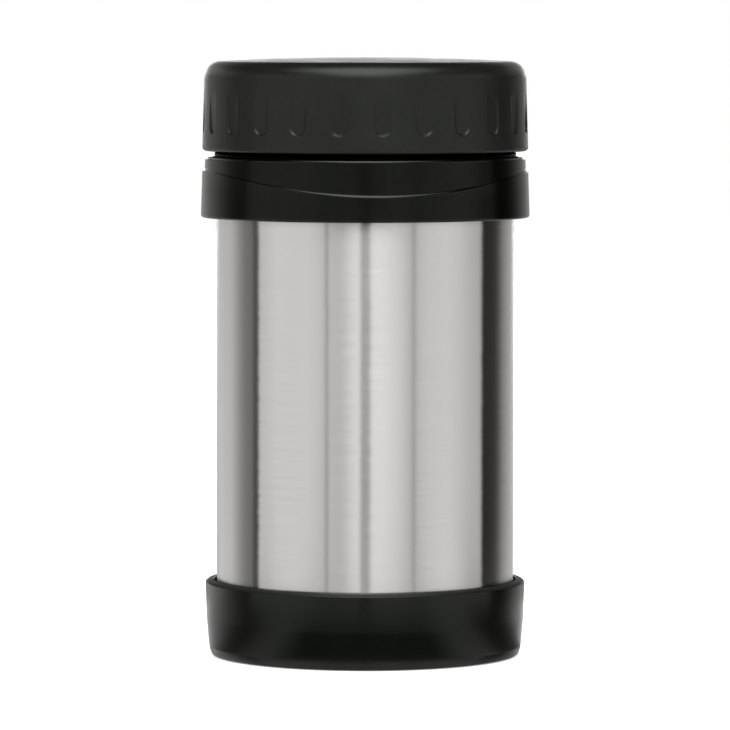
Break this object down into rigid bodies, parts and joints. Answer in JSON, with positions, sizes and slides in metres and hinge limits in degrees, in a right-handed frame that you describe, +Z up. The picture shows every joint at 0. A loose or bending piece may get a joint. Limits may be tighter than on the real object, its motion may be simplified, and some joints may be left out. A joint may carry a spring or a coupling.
{
  "type": "insulated food jar",
  "caption": "Wide-mouth double-walled steel food jar with a black screw lid, insulated screw stopper with a vent button, black collar and base cup.",
  "frame": {"origin": "centre of the base, on the plane that the jar stands on", "axes": "+Z up along the jar's axis, -Y towards the front, +X to the right seen from the front; positive turns about +Z unscrew"},
  "size_m": [0.0942, 0.0942, 0.1713],
  "materials": {
    "steel_body": "brushed round the body",
    "steel_vessel": "satin, electropolished",
    "vacuum_end": "mill finish",
    "seal_metal": "cast",
    "getter_pellet": "sintered",
    "foil": "bright foil",
    "black_plastic": "fine satin moulded",
    "lid_plastic": "fine satin moulded",
    "stopper_plastic": "satin moulded",
    "button_plastic": "satin moulded",
    "foam": "closed-cell foam",
    "silicone": "translucent grey silicone",
    "black_rubber": "matt",
    "spring_steel": "bright wire"
  },
  "bodies": {
    "jar": {"outer_shell": "steel_body", "inner_liner": "steel_vessel", "bottom_plate": "vacuum_end", "vacuum_seal_plug": "seal_metal", "getter": "getter_pellet", "radiation_foil": "foil", "base_cup": "black_plastic", "base_cushion": "foam", "collar": "black_plastic", "collar_seal": "black_rubber"},
    "stopper_seal": {"stopper_gasket": "silicone"},
    "stopper": {"stopper_body": "stopper_plastic", "stopper_insulation": "foam", "stopper_cap": "stopper_plastic", "vent_spring": "spring_steel"},
    "vent": {"vent_button": "button_plastic", "vent_valve": "silicone"},
    "lid_seal": {"lid_gasket": "silicone"},
    "lid": {"lid_shell": "lid_plastic", "lid_liner": "lid_plastic"}
  },
  "joints": [
    {"name": "stopper_lift", "type": "slide", "parent": "jar", "child": "stopper_seal", "axis": [0, 0, 1], "range_m": [0, 0.025]},
    {"name": "stopper_turn", "type": "hinge", "parent": "stopper_seal", "child": "stopper", "pos_m": [0, 0, 0.15], "axis": [0, 0, 1], "range_deg": [0, 900]},
    {"name": "vent_press", "type": "slide", "parent": "stopper", "child": "vent", "axis": [0, 0, -1], "range_m": [0, 0.0015], "stiffness_N_per_m": 300, "springref_m": -0.002, "deforming": ["vent_spring"]},
    {"name": "lid_lift", "type": "slide", "parent": "stopper", "child": "lid_seal", "axis": [0, 0, 1], "range_m": [0, 0.015]},
    {"name": "lid_turn", "type": "hinge", "parent": "lid_seal", "child": "lid", "pos_m": [0, 0, 0.158], "axis": [0, 0, 1], "range_deg": [0, 540]}
  ],
  "couplings": [
    {"joint": "stopper_lift", "follows": "stopper_turn", "m_per_rad": 0.0015915},
    {"joint": "lid_lift", "follows": "lid_turn", "m_per_rad": 0.0015915}
  ]
}
